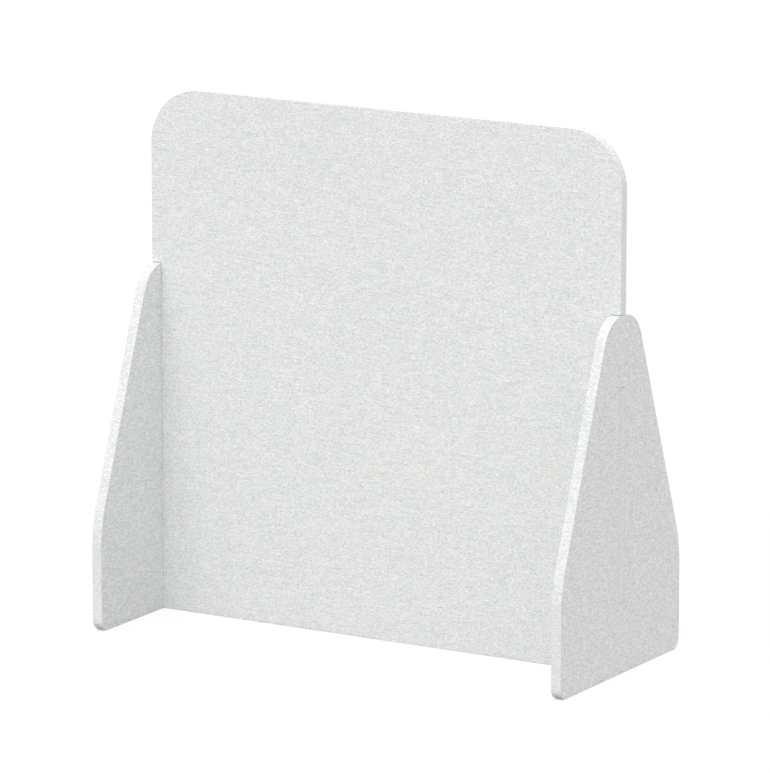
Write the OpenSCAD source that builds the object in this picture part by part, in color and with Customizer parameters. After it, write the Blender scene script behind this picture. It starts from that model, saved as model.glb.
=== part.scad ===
// Free-standing acoustic screen, cut from rigid felt board.
// One upright panel is held between two upright feet. On each side a long
// tenon of the panel goes right through a mortise in the foot, and the
// panel's wide upper part rests its shoulders on the tops of the feet, so
// the three boards push together and pull apart with no fastener.
// X runs along the screen, Y runs from its front to its back and Z goes up
// from the floor. The origin is on the floor, at the middle of the screen.

/* [Panel] */
// Overall width of the screen, from one foot's outer face to the other's
screen_w = 1200; // [800:10:2000]
// Overall height of the screen
screen_h = 1200; // [1050:10:1800]
// Thickness of the panel's board
panel_t = 24; // [12:1:40]
// Radius at the panel's two upper corners
panel_corner_r = 125; // [10:5:180]

/* [Feet] */
// Thickness of the feet's board, which is also how far each tenon reaches
foot_t = 24; // [12:1:40]
// Depth of a foot, from its front edge to its back edge
foot_d = 540; // [400:10:800]
// Height of a foot
foot_h = 800; // [700:10:860]
// Width of a foot's top between its sharp corners, before they are rounded
foot_top_w = 125; // [80:5:200]
// Height of the knees, where the upright edges turn into the sloping ones
knee_z = 240; // [160:5:320]
// Radius at a foot's two bottom corners
toe_r = 25; // [5:1:60]
// Radius of the soft bend at a foot's two knees
knee_r = 285; // [50:5:400]
// Radius at a foot's two top corners, which leave a short flat between them
nose_r = 80; // [20:1:120]

/* [Joint] */
// Height of each tenon, from its lower end to its upper end
tenon_h = 480; // [300:10:500]
// Height of the tenons' lower ends above the floor
tenon_z = 160; // [80:5:180]
// Clearance all round a tenon, beside the feet and under the shoulders
fit_gap = 0.3; // [0.1:0.05:1]

/* [Hidden] */

// Colour of the heathered white felt
felt_colour = "#E3E6E4";
// Number of straight steps in a full circle
$fn = 120;
// Length by which every cut runs past the face that it opens
overrun = 2;
// How far a round's disc stands proud of the two straight sides that it
// blends, so that they cross it cleanly instead of just touching it
blend_overlap = 0.002;

// Where the feet and the panel's edges stand
foot_inner_x = screen_w / 2 - foot_t;
panel_edge_x = foot_inner_x - fit_gap;
shoulder_z = foot_h + fit_gap;
tenon_top_z = tenon_z + tenon_h;

// Slope of a foot's sloping edges, as an angle from the vertical
slope_angle = atan((foot_d - foot_top_w) / 2 / (foot_h - knee_z));

// Rounds on neighbouring corners leave a little of the side between them
side_share = 0.9;
knee_side = side_share * min(knee_z - toe_r, (foot_h - knee_z) / 2);
knee_round = min(knee_r, knee_side / tan(slope_angle / 2));
nose_side = side_share * foot_top_w / 2;
nose_round = min(nose_r, nose_side * tan(45 + slope_angle / 2));

// Unit vector that points from one point to another
function towards(from, to) = (to - from) / norm(to - from);

// Half the angle between the two sides that meet at a corner
function half_angle(before, corner, after) =
    acos(towards(corner, before) * towards(corner, after)) / 2;

// Centre of the round of radius r that touches both sides of a corner
function round_centre(before, corner, after, r) =
    let (both_sides = towards(corner, before) + towards(corner, after))
    corner + r / sin(half_angle(before, corner, after)) * both_sides / norm(both_sides);

// What a round of radius r cuts away: the tip of the corner beyond the disc
module corner_tip(before, corner, after, r) {
    centre = round_centre(before, corner, after, r);
    reach = r / tan(half_angle(before, corner, after));
    difference() {
        polygon([
            corner + reach * towards(corner, before),
            2 * corner - centre,
            corner + reach * towards(corner, after)
        ]);
        translate(centre) circle(r = r + blend_overlap);
    }
}

// A convex outline through the given corners, each with a radius of its own
module rounded_outline(corners, radii) {
    count = len(corners);
    difference() {
        polygon(corners);
        for (i = [0 : count - 1])
            if (radii[i] > 0)
                corner_tip(
                    corners[(i + count - 1) % count],
                    corners[i],
                    corners[(i + 1) % count],
                    radii[i]
                );
    }
}

// Stands a drawn outline up, centred on y = 0, with its own y axis along Z
module stand_facing_front(thickness) {
    rotate([90, 0, 0]) linear_extrude(thickness, center = true) children();
}

// Stands a drawn outline up, from x = 0 outwards, with its x axis along Y
module stand_facing_side(thickness) {
    rotate([90, 0, 90]) linear_extrude(thickness) children();
}

// Side view of a foot: upright toes, soft knees, sloping edges, round nose
module foot_outline() {
    rounded_outline(
        [
            [foot_d / 2, 0],
            [foot_d / 2, knee_z],
            [foot_top_w / 2, foot_h],
            [-foot_top_w / 2, foot_h],
            [-foot_d / 2, knee_z],
            [-foot_d / 2, 0]
        ],
        [toe_r, knee_round, nose_round, nose_round, knee_round, toe_r]
    );
}

// The slot that a tenon fills, with its clearance on every side
module mortise_outline() {
    translate([-panel_t / 2 - fit_gap, tenon_z - fit_gap])
        square([panel_t + 2 * fit_gap, tenon_h + 2 * fit_gap]);
}

// Front view of the board that the panel is cut from
module board_outline() {
    rounded_outline(
        [
            [screen_w / 2, 0],
            [screen_w / 2, screen_h],
            [-screen_w / 2, screen_h],
            [-screen_w / 2, 0]
        ],
        [0, panel_corner_r, panel_corner_r, 0]
    );
}

// A notch down one side of the board, between two heights
module side_notch(side, bottom_z, top_z) {
    notch_w = foot_t + fit_gap + overrun;
    translate([side > 0 ? panel_edge_x : -panel_edge_x - notch_w, bottom_z])
        square([notch_w, top_z - bottom_z]);
}

// The upright panel, with a shoulder and a through tenon on each side
module main_panel() {
    color(felt_colour) stand_facing_front(panel_t) difference() {
        board_outline();
        for (side = [-1, 1]) {
            side_notch(side, -overrun, tenon_z);
            side_notch(side, tenon_top_z, shoulder_z);
        }
    }
}

// One foot, standing from its inner face at x = 0 outwards
module foot() {
    stand_facing_side(foot_t) difference() {
        foot_outline();
        mortise_outline();
    }
}

// The foot at the screen's left end
module left_foot() {
    color(felt_colour) mirror([1, 0, 0]) translate([foot_inner_x, 0, 0]) foot();
}

// The foot at the screen's right end
module right_foot() {
    color(felt_colour) translate([foot_inner_x, 0, 0]) foot();
}

main_panel();
left_foot();
right_foot();
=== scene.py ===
# %% [markdown]
# A felt screen in three boards
#
# This lesson dresses a free-standing acoustic screen: one wide upright panel
# held between two tapered feet, all cut from the same white heathered felt
# board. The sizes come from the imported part. Here the boards get the soft
# arrises, the fibres, the cut edges and the light of the photograph.

# %% Load the frame
import math

import bmesh
import bpy
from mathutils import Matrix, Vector


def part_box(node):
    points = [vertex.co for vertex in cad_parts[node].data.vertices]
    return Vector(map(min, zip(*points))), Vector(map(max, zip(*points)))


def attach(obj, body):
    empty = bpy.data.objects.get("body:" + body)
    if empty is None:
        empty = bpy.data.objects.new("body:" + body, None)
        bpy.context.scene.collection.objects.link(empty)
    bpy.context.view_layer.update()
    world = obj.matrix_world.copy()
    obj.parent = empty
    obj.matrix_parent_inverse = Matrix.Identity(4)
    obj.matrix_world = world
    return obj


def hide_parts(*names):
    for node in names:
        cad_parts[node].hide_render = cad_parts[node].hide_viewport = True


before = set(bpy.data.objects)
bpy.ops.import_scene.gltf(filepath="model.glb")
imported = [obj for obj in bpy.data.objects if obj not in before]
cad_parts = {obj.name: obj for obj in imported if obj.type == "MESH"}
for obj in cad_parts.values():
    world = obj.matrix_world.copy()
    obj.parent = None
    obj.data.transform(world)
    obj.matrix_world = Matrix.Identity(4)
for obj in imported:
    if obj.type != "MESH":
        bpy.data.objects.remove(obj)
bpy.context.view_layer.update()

# %% [markdown]
# The camera comes first, because everything is judged through it. It stands to
# the right of the screen and looks a little down on it, and its place was
# worked out from the boards' straight edges. A short lens close by could frame
# the screen as well, but the near foot would loom. A long lens far away gives
# the photograph's mild perspective: the verticals stay nearly parallel, and the
# edges that run away from the viewer draw together only a little.

# %% Camera
MM = 0.001
SENSOR_WIDTH = 36.0
LENS = 296.06
CAMERA_AZIMUTH = 30.601
CAMERA_ELEVATION = 12.234
CAMERA_DISTANCE = 14.074
CAMERA_TARGET = Vector((0.00105, 0.00116, 0.57655))
CLIP_END = 200.0


def towards(azimuth, elevation):
    """The direction in which a viewer or lamp stands, from angles in degrees."""
    turn = math.radians(azimuth)
    rise = math.radians(elevation)
    return Vector(
        (
            math.sin(turn) * math.cos(rise),
            -math.cos(turn) * math.cos(rise),
            math.sin(rise),
        )
    )


def look_along(thing, direction):
    """Turns a camera or a lamp so that it looks along a direction."""
    thing.rotation_euler = direction.to_track_quat("-Z", "Y").to_euler()


def add_camera():
    """A camera that looks at the target from the photograph's direction."""
    data = bpy.data.cameras.new("camera")
    data.sensor_width = SENSOR_WIDTH
    data.lens = LENS
    data.clip_end = CLIP_END
    camera = bpy.data.objects.new("camera", data)
    towards_viewer = towards(CAMERA_AZIMUTH, CAMERA_ELEVATION)
    camera.location = CAMERA_TARGET + CAMERA_DISTANCE * towards_viewer
    look_along(camera, -towards_viewer)
    bpy.context.scene.collection.objects.link(camera)
    bpy.context.scene.camera = camera
    print("The camera stands at", [round(c, 3) for c in camera.location])


add_camera()

# %% [markdown]
# Every board is a flat outline with some thickness. The outline is a chain of
# straight sides and true arcs, so a point is spun round each rounded corner's
# centre, and the arcs' ends are joined. That keeps the arcs as exact as the
# cutter's path, which a vertex bevel would only come near.

# %% Tools for outlines
ARC_STEP = math.radians(3)
LEAST_ARC_STEPS = 4


def spin_corner(bm, before, corner, after, radius):
    """Draws one corner of an outline and returns its vertices in order."""
    if radius == 0:
        return [bm.verts.new(corner)]
    to_before = (before - corner).normalized()
    to_after = (after - corner).normalized()
    half_angle = to_before.angle(to_after) / 2
    inward = (to_before + to_after).normalized()
    centre = corner + inward * radius / math.sin(half_angle)
    turn = math.pi - 2 * half_angle
    start = bm.verts.new(corner + to_before * radius / math.tan(half_angle))
    steps = max(LEAST_ARC_STEPS, round(turn / ARC_STEP))
    bmesh.ops.spin(
        bm,
        geom=[start],
        cent=centre,
        axis=to_after.cross(to_before),
        angle=turn,
        steps=steps,
        use_duplicate=False,
    )
    bm.verts.ensure_lookup_table()
    return list(bm.verts)[-(steps + 1) :]


def draw_loop(bm, corners, radii):
    """Draws a closed outline through the corners and returns its edges."""
    first_edge = len(bm.edges)
    count = len(corners)
    chains = [
        spin_corner(
            bm, corners[i - 1], corners[i], corners[(i + 1) % count], radii[i]
        )
        for i in range(count)
    ]
    for i, chain in enumerate(chains):
        bm.edges.new((chain[-1], chains[(i + 1) % count][0]))
    bm.edges.ensure_lookup_table()
    return list(bm.edges)[first_edge:]


# %% [markdown]
# A board is pressed flat and then cut, so it has two broad faces and a cut edge
# all round. One filled outline could be extruded, but the extrusion puts its
# faces in another order each time the lesson runs, and a part has to come out
# alike every time. So the outline is drawn on both sides of the board, the two
# are bridged for the cut edge, and each side is filled. Each face then gets one
# of two finishes, by whether it looks along the board's thickness or not.

# %% Tools for boards
FACE = 0
CUT_EDGE = 1
# Faces that turn by less than this from one to the next are one flat face
FLAT_TURN = math.radians(1)
# A broad face's normal lies at least this much along the thickness
BROAD_SHARE = 0.5


def fill_side(bm, edges):
    """Fills one side of a board, round its slot if it has one."""
    filled = bmesh.ops.triangle_fill(bm, edges=edges, use_beauty=True)
    inner = [part for part in filled["geom"] if isinstance(part, bmesh.types.BMEdge)]
    bmesh.ops.dissolve_limit(bm, angle_limit=FLAT_TURN, edges=inner)


def close_board(bm, loops, thickness):
    """Draws each loop on both sides of a board, bridges them and fills the sides."""
    near_edges = []
    far_edges = []
    for corners, radii in loops:
        near = draw_loop(bm, corners, radii)
        far = draw_loop(bm, [corner + thickness for corner in corners], radii)
        bmesh.ops.bridge_loops(bm, edges=near + far)
        near_edges += near
        far_edges += far
    fill_side(bm, near_edges)
    fill_side(bm, far_edges)
    bmesh.ops.recalc_face_normals(bm, faces=bm.faces[:])


def mark_cut_edges(bm, thickness):
    """Gives the broad faces one finish and the cut edge the other."""
    across = thickness.normalized()
    for face in bm.faces:
        broad = abs(face.normal.dot(across)) > BROAD_SHARE
        face.material_index = FACE if broad else CUT_EDGE


# %% [markdown]
# A cutter leaves felt board with crisp walls, but its arrises are never quite
# sharp: the fibres give, and the edge reads as a hair-thin round. A material
# can only pretend such a round, so here the mesh itself is bevelled. Its
# normals are weighted by area, which keeps the long faces beside the rounds
# shaded flat.

# %% Arrises and finished boards
ARRIS = 0.4 * MM
ARRIS_SEGMENTS = 2
# Faces that turn by more than this meet at an arris
SHARP_TURN = math.radians(60)
# The highest weight, which lets the larger face settle a shared normal
LARGE_FACE_WEIGHT = 100


def ease_arrises(bm):
    """Rounds every arris by a hair."""
    arrises = [edge for edge in bm.edges if edge.calc_face_angle(0) > SHARP_TURN]
    bmesh.ops.bevel(
        bm,
        geom=arrises,
        offset=ARRIS,
        offset_type="OFFSET",
        segments=ARRIS_SEGMENTS,
        profile=0.5,
        affect="EDGES",
        material=-1,
    )
    for face in bm.faces:
        face.smooth = True


def add_object(name, bm, materials):
    """Adds a finished bmesh to the scene as an object with its materials."""
    mesh = bpy.data.meshes.new(name)
    bm.to_mesh(mesh)
    bm.free()
    for material in materials:
        mesh.materials.append(material)
    added = bpy.data.objects.new(name, mesh)
    bpy.context.scene.collection.objects.link(added)
    print(name, "has", len(mesh.polygons), "faces")
    return added


def make_board(name, loops, thickness, materials):
    """A board from its outline's loops, its thickness and its two finishes."""
    bm = bmesh.new()
    close_board(bm, loops, thickness)
    mark_cut_edges(bm, thickness)
    ease_arrises(bm)
    board = add_object(name, bm, materials)
    by_area = board.modifiers.new("normals by area", "WEIGHTED_NORMAL")
    by_area.mode = "FACE_AREA"
    by_area.weight = LARGE_FACE_WEIGHT
    return board


# %% [markdown]
# Colours are written as they would be picked from a picture, in sRGB, and one
# function turns them to the linear values that the renderer works in. One
# small function adds a node with its settings and links.

# %% Tools for materials
def linear(hex_colour):
    """Turns an sRGB hex colour such as 'E4E6E4' to linear RGBA."""
    channels = [int(hex_colour[i : i + 2], 16) / 255 for i in (0, 2, 4)]
    # The numbers are the sRGB standard's own
    return [
        c / 12.92 if c <= 0.04045 else ((c + 0.055) / 1.055) ** 2.4 for c in channels
    ] + [1.0]


def new_material(name):
    """An empty node material."""
    material = bpy.data.materials.new(name)
    material.use_nodes = True
    material.node_tree.nodes.clear()
    return material


def add_node(tree, kind, settings=None, inputs=None):
    """Adds a node. An input is a value, or the output socket that feeds it."""
    node = tree.nodes.new(kind)
    for key, value in (settings or {}).items():
        setattr(node, key, value)
    for key, value in (inputs or {}).items():
        if isinstance(value, bpy.types.NodeSocket):
            tree.links.new(value, node.inputs[key])
        else:
            node.inputs[key].default_value = value
    return node


# %% [markdown]
# The boards are needled polyester felt, melted and pressed until it is stiff.
# White fibres are blended with a few grey ones, so the surface is never one
# flat colour. Three layers of noise make it up: fine flecks drawn out along the
# sheet, because the web is combed before it is needled, longer streaks where
# the combing left a little more of one fibre, and faint clouds where the whites
# turn cooler or warmer. A picture of felt could be laid on instead, but noise
# has no seams and follows real sizes. Real flecks are well under a millimetre
# thick. They are drawn here 2.5 to 2.8 millimetres thick, the least that shows
# at this size.

# %% Heathered pattern
PANEL_FLECK = (6.5 * MM, 2.5 * MM)
FOOT_FLECK = (8.5 * MM, 2.8 * MM)
STREAK = (30 * MM, 5 * MM)
STREAK_SHARE = 0.2
CLOUD = (25 * MM, 25 * MM)
CLOUD_SHARE = 0.06
FLECK_DETAIL = 3.0
SOFT_DETAIL = 1.0
NOISE_ROUGHNESS = 0.6
NOISE_MIDDLE = 0.5


def stretched_noise(tree, lay, size, detail):
    """A noise whose grains have the given length along one axis and thickness."""
    length, thickness = size
    scale = [1 / thickness] * 3
    scale[lay] = 1 / length
    place = add_node(tree, "ShaderNodeTexCoord").outputs["Object"]
    stretched = add_node(
        tree, "ShaderNodeMapping", inputs={"Vector": place, "Scale": scale}
    )
    return add_node(
        tree,
        "ShaderNodeTexNoise",
        inputs={
            "Vector": stretched.outputs["Vector"],
            "Scale": 1.0,
            "Detail": detail,
            "Roughness": NOISE_ROUGHNESS,
        },
    ).outputs["Fac"]


def add_share(tree, below, layer, share):
    """Adds a share of one value to another."""
    return add_node(
        tree,
        "ShaderNodeMath",
        settings={"operation": "MULTIPLY_ADD"},
        inputs={0: layer, 1: share, 2: below},
    ).outputs["Value"]


def steepen(tree, value, middle, contrast):
    """Steepens a noise about its middle and keeps it between 0 and 1."""
    reach = 0.5 / contrast
    return add_node(
        tree,
        "ShaderNodeMapRange",
        inputs={
            "Value": value,
            "From Min": middle - reach,
            "From Max": middle + reach,
        },
    ).outputs["Result"]


def mix_colours(tree, factor, first, second, blend_type="MIX"):
    """Mixes two colours, each a value or the socket that feeds it."""
    return add_node(
        tree,
        "ShaderNodeMix",
        settings={"data_type": "RGBA", "blend_type": blend_type},
        inputs={"Factor": factor, "A": first, "B": second},
    ).outputs["Result"]


# %% [markdown]
# The blend of flecks and streaks picks each spot's place between the grey
# fibres and the white ones, and the clouds alone pick its tint. Both the greys
# and the tint are very pale, so the felt still reads as white from a few steps
# away.

# %% Fibre colours
DARKER_FIBRE = "C8CACA"
LIGHTER_FIBRE = "FCFDFD"
COOL_WHITE = "FDFEFE"
WARM_WHITE = "FEFEFB"
FIBRE_CONTRAST = 2.1
TINT_CONTRAST = 3.0


def fibre_colour(tree, lay, flecks):
    """The felt's colour, from its flecks and from streaks and clouds of its own."""
    streaks = stretched_noise(tree, lay, STREAK, SOFT_DETAIL)
    clouds = stretched_noise(tree, lay, CLOUD, SOFT_DETAIL)
    blend = add_share(tree, flecks, streaks, STREAK_SHARE)
    blend = add_share(tree, blend, clouds, CLOUD_SHARE)
    blend_middle = NOISE_MIDDLE * (1 + STREAK_SHARE + CLOUD_SHARE)
    shade = steepen(tree, blend, blend_middle, FIBRE_CONTRAST)
    greys = mix_colours(tree, shade, linear(DARKER_FIBRE), linear(LIGHTER_FIBRE))
    warmth = steepen(tree, clouds, NOISE_MIDDLE, TINT_CONTRAST)
    tint = mix_colours(tree, warmth, linear(COOL_WHITE), linear(WARM_WHITE))
    return mix_colours(tree, 1.0, greys, tint, "MULTIPLY")


# %% [markdown]
# Polyester fibres are clear, and scatter light every way, so the board is matt
# with a faint pale bloom at a glancing angle. The faces were pressed between
# hot plates and are nearly smooth. On them the flecks lie along the sheet.
# Where the blade went through, the needles' work shows instead: they punched
# fibres right through the web, so on a cut edge the flecks run across the
# thickness, and the surface is a little rougher. One function makes both, since
# only the lay, the fleck and the relief differ.

# %% Felt
ALONG_X = 0
ALONG_Y = 1
PRESSED_RELIEF = 0.25 * MM
CUT_RELIEF = 0.4 * MM
POLYESTER_IOR = 1.57
FELT_ROUGHNESS = 0.95
FIBRE_GLOSS = 0.2
BLOOM = 0.1
BLOOM_ROUGHNESS = 0.5


def felt(name, lay, fleck, relief):
    """White felt whose flecks lie along one axis."""
    material = new_material(name)
    tree = material.node_tree
    flecks = stretched_noise(tree, lay, fleck, FLECK_DETAIL)
    fibres = add_node(
        tree,
        "ShaderNodeBump",
        inputs={"Strength": 1.0, "Distance": relief, "Height": flecks},
    )
    surface = add_node(
        tree,
        "ShaderNodeBsdfPrincipled",
        inputs={
            "Base Color": fibre_colour(tree, lay, flecks),
            "Roughness": FELT_ROUGHNESS,
            "IOR": POLYESTER_IOR,
            "Specular IOR Level": FIBRE_GLOSS,
            "Sheen Weight": BLOOM,
            "Sheen Roughness": BLOOM_ROUGHNESS,
            "Normal": fibres.outputs["Normal"],
        },
    )
    add_node(
        tree,
        "ShaderNodeOutputMaterial",
        inputs={"Surface": surface.outputs["BSDF"]},
    )
    print(name, "has", len(tree.nodes), "nodes")
    return material


panel_felt = felt(
    "pressed polyester felt, panel", ALONG_X, PANEL_FLECK, PRESSED_RELIEF
)
foot_felt = felt("pressed polyester felt, foot", ALONG_Y, FOOT_FLECK, PRESSED_RELIEF)
panel_edge = felt("cut polyester felt, panel", ALONG_Y, PANEL_FLECK, CUT_RELIEF)
foot_edge = felt("cut polyester felt, foot", ALONG_X, PANEL_FLECK, CUT_RELIEF)

# %% [markdown]
# The panel is one board. Below its shoulders a notch on each side makes room
# for a foot, and between the notches a long tenon is left, which goes right
# through the foot and ends flush with its outer face. The tenons could be
# blocks set against a plain slab, but the real ones are cut from the board in
# one go, so one outline takes them in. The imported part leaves 0.3 mm between
# its boards. The seams that show are drawn 0.6 to 1.5 mm wide, as dark as in
# the photograph.

# %% Main panel
FIT_GAP = 0.3 * MM
SIDE_GAP = 0.6 * MM
END_GAP = 1.1 * MM
SHOULDER_GAP = 1.5 * MM
PANEL_CORNER_RADIUS = 125 * MM
TENON_BOTTOM = 160 * MM
TENON_TOP = 640 * MM
panel_low, panel_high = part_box("main_panel")
foot_low, foot_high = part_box("right_foot")
panel_body_x = foot_low.x - FIT_GAP
shoulder_z = foot_high.z + SHOULDER_GAP


def panel_loop():
    """The panel's corners, seen from the front, and the radius at each."""
    right_side = [
        (panel_body_x, panel_low.z, 0),
        (panel_body_x, TENON_BOTTOM, 0),
        (panel_high.x, TENON_BOTTOM, 0),
        (panel_high.x, TENON_TOP, 0),
        (panel_body_x, TENON_TOP, 0),
        (panel_body_x, shoulder_z, 0),
        (panel_high.x, shoulder_z, 0),
        (panel_high.x, panel_high.z, PANEL_CORNER_RADIUS),
    ]
    left_side = [(-x, z, radius) for x, z, radius in reversed(right_side)]
    outline = right_side + left_side
    corners = [Vector((x, panel_low.y, z)) for x, z, _ in outline]
    return corners, [radius for _, _, radius in outline]


panel = make_board(
    "felt_panel",
    [panel_loop()],
    Vector((0, panel_high.y - panel_low.y, 0)),
    [panel_felt, panel_edge],
)
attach(panel, "panel")
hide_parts("main_panel")

# %% [markdown]
# A foot seen from the side stands on a flat sole between rounded toes. Its
# edges rise upright to the knees, bend softly and lean in towards a rounded
# nose, and a slot down its middle takes the panel's tenon. A boolean could cut
# the slot, but filling the outline with the slot as a second loop leaves a
# cleaner mesh.

# %% Feet
KNEE_HEIGHT = 240 * MM
NOSE_HALF_WIDTH = 62.5 * MM
TOE_RADIUS = 25 * MM
KNEE_RADIUS = 285 * MM
NOSE_RADIUS = 80 * MM


def foot_loops(x, low, high):
    """The foot's outline and its mortise, drawn at the given x."""
    front_half = [
        (low.y, low.z, TOE_RADIUS),
        (low.y, KNEE_HEIGHT, KNEE_RADIUS),
        (-NOSE_HALF_WIDTH, high.z, NOSE_RADIUS),
    ]
    back_half = [(-y, z, radius) for y, z, radius in reversed(front_half)]
    outline = front_half + back_half
    corners = [Vector((x, y, z)) for y, z, _ in outline]
    half_slot = panel_high.y + SIDE_GAP
    slot_bottom = TENON_BOTTOM - END_GAP
    slot_top = TENON_TOP + END_GAP
    slot = [
        Vector((x, -half_slot, slot_bottom)),
        Vector((x, -half_slot, slot_top)),
        Vector((x, half_slot, slot_top)),
        Vector((x, half_slot, slot_bottom)),
    ]
    radii = [radius for _, _, radius in outline]
    return [(corners, radii), (slot, [0] * len(slot))]


for side in ("left", "right"):
    low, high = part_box(side + "_foot")
    foot = make_board(
        "felt_foot_" + side,
        foot_loops(low.x, low, high),
        Vector((high.x - low.x, 0, 0)),
        [foot_felt, foot_edge],
    )
    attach(foot, side + "_foot")
    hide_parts(side + "_foot")

# %% [markdown]
# The studio is white all round. Walls could be built and lit, but a world that
# shines from every side is simpler and just as soft. It has to be pure white
# behind the screen and a touch brighter as a light, so one factor tells the two
# apart: it is 1 for what is seen, by the camera or in a gloss or a clear part,
# and 0 for what only lights the boards.

# %% White room
ROOM_SEEN = 1.0
ROOM_LIGHT = 1.06


def seen_directly(tree):
    """A factor of 1 where the camera, a gloss or a clear part sees through."""
    light_path = add_node(tree, "ShaderNodeLightPath")
    seen = light_path.outputs["Is Camera Ray"]
    for ray in ("Is Glossy Ray", "Is Transmission Ray"):
        seen = add_node(
            tree,
            "ShaderNodeMath",
            settings={"operation": "MAXIMUM"},
            inputs={0: seen, 1: light_path.outputs[ray]},
        ).outputs["Value"]
    return seen


def set_backdrop():
    """An even white room: pure white when seen, a touch brighter as a light."""
    world = bpy.data.worlds.new("white studio")
    world.use_nodes = True
    tree = world.node_tree
    tree.nodes.clear()
    strength = add_node(
        tree,
        "ShaderNodeMapRange",
        inputs={
            "Value": seen_directly(tree),
            "To Min": ROOM_LIGHT,
            "To Max": ROOM_SEEN,
        },
    )
    room = add_node(
        tree,
        "ShaderNodeBackground",
        inputs={"Color": linear("FFFFFF"), "Strength": strength.outputs["Result"]},
    )
    add_node(
        tree, "ShaderNodeOutputWorld", inputs={"Surface": room.outputs["Background"]}
    )
    bpy.context.scene.world = world
    print("The room is seen at", ROOM_SEEN, "and lights the boards at", ROOM_LIGHT)


set_backdrop()

# %% [markdown]
# The screen stands on a white table that is lit from below, as for a catalogue.
# To the boards the table is an even, dim light, which keeps the toes and the
# lower corners from going dark. Close under the boards an ambient occlusion
# mask dims the glow, which is painted shade. To the camera the table is white
# with a share of paper, which takes the boards' shadow, and under the toes the
# same mask lets more of the paper show, so the contact shade there is partly
# the paper's real shadow and partly painted. Stronger light on plain paper
# would be as white, but its glare would eat into the boards' outline.

# %% Table top's material
PAPER_COLOUR = 0.85
PAPER_SHARE = 0.15
DEEP_PAPER_SHARE = 0.7
WHITE_SEEN = 1.02
FLOOR_GLOW = 0.509
# How near a board paints shade on the table's glow, and the share of the
# glow that the painted shade can take
PAINTED_SHADE_REACH = 15 * MM
PAINTED_SHADE_SHARE = 0.8
PAINTED_SHADE_SAMPLES = 8
# The share of open sky at which most of the paper shows as painted contact
# shade, and at which the least
DEEP_SKY = 0.3
OPEN_SKY = 0.55


def table_glow(tree, open_sky):
    """The table as a light for the boards, with painted shade close under them."""
    # Ambient occlusion paints shade on the glow close under the boards
    shaded_glow = FLOOR_GLOW * PAINTED_SHADE_SHARE
    strength = add_share(tree, FLOOR_GLOW - shaded_glow, open_sky, shaded_glow)
    return add_node(tree, "ShaderNodeEmission", inputs={"Strength": strength})


def table_seen(tree, open_sky):
    """The table as the camera sees it, white with more paper where shade is painted.
    """
    white = add_node(tree, "ShaderNodeEmission", inputs={"Strength": WHITE_SEEN})
    paper = add_node(
        tree, "ShaderNodeBsdfDiffuse", inputs={"Color": [PAPER_COLOUR] * 3 + [1.0]}
    )
    # More paper shows where ambient occlusion is deep, which paints contact shade
    paper_share = add_node(
        tree,
        "ShaderNodeMapRange",
        inputs={
            "Value": open_sky,
            "From Min": DEEP_SKY,
            "From Max": OPEN_SKY,
            "To Min": DEEP_PAPER_SHARE,
            "To Max": PAPER_SHARE,
        },
    )
    return add_node(
        tree,
        "ShaderNodeMixShader",
        inputs={
            "Fac": paper_share.outputs["Result"],
            1: white.outputs["Emission"],
            2: paper.outputs["BSDF"],
        },
    )


def table_top():
    """White paper over an even light, with painted shade close under the boards."""
    material = new_material("lit white table top")
    tree = material.node_tree
    # Ambient occlusion is the mask that paints the contact shade on the table
    open_sky = add_node(
        tree,
        "ShaderNodeAmbientOcclusion",
        settings={"samples": PAINTED_SHADE_SAMPLES},
        inputs={"Distance": PAINTED_SHADE_REACH},
    ).outputs["AO"]
    glow = table_glow(tree, open_sky)
    seen = table_seen(tree, open_sky)
    both = add_node(
        tree,
        "ShaderNodeMixShader",
        inputs={
            "Fac": seen_directly(tree),
            1: glow.outputs["Emission"],
            2: seen.outputs["Shader"],
        },
    )
    add_node(
        tree, "ShaderNodeOutputMaterial", inputs={"Surface": both.outputs["Shader"]}
    )
    return material


# %% [markdown]
# The table itself is one flat square, so wide that its far edge is lost in the
# white. It lies a hair under the boards, because two faces at one height would
# fight over which is seen.

# %% Floor
FLOOR_SIZE = 120.0
FLOOR_DROP = 0.2 * MM


def add_floor():
    """A wide table top just under the boards."""
    bm = bmesh.new()
    bmesh.ops.create_grid(bm, x_segments=1, y_segments=1, size=FLOOR_SIZE / 2)
    bmesh.ops.translate(bm, vec=(0, 0, -FLOOR_DROP), verts=bm.verts[:])
    floor = add_object("floor", bm, [table_top()])


add_floor()

# %% [markdown]
# One broad lamp in front gives the boards their form. With the white room it
# brings the tops of the feet just short of white. The sloping edges get a
# little less, the faces that look to the front less again, and the faces that
# look sideways little but the room's light. Several small lamps could be set
# round the screen, but each would leave a mark of its own. The photograph does
# not show the back. A low lamp behind the screen tells its faces apart and adds
# almost nothing in front.

# %% Lamps
def add_sun(name, azimuth, elevation, strength, spread):
    """A sun from a direction given like the camera's. Spread softens it."""
    data = bpy.data.lights.new(name, "SUN")
    data.energy = strength * math.pi
    data.angle = math.radians(spread)
    lamp = bpy.data.objects.new(name, data)
    look_along(lamp, -towards(azimuth, elevation))
    bpy.context.scene.collection.objects.link(lamp)
    print("The", name, "shines from", azimuth, "degrees round,", elevation, "up")


add_sun("front lamp", azimuth=0, elevation=45, strength=0.297, spread=50)
add_sun("back lamp", azimuth=180, elevation=4, strength=0.12, spread=8)

# %% [markdown]
# The Standard view shows each colour as it is written, where a film-like view
# would grey the whites.

# %% The view
bpy.context.scene.view_settings.view_transform = "Standard"
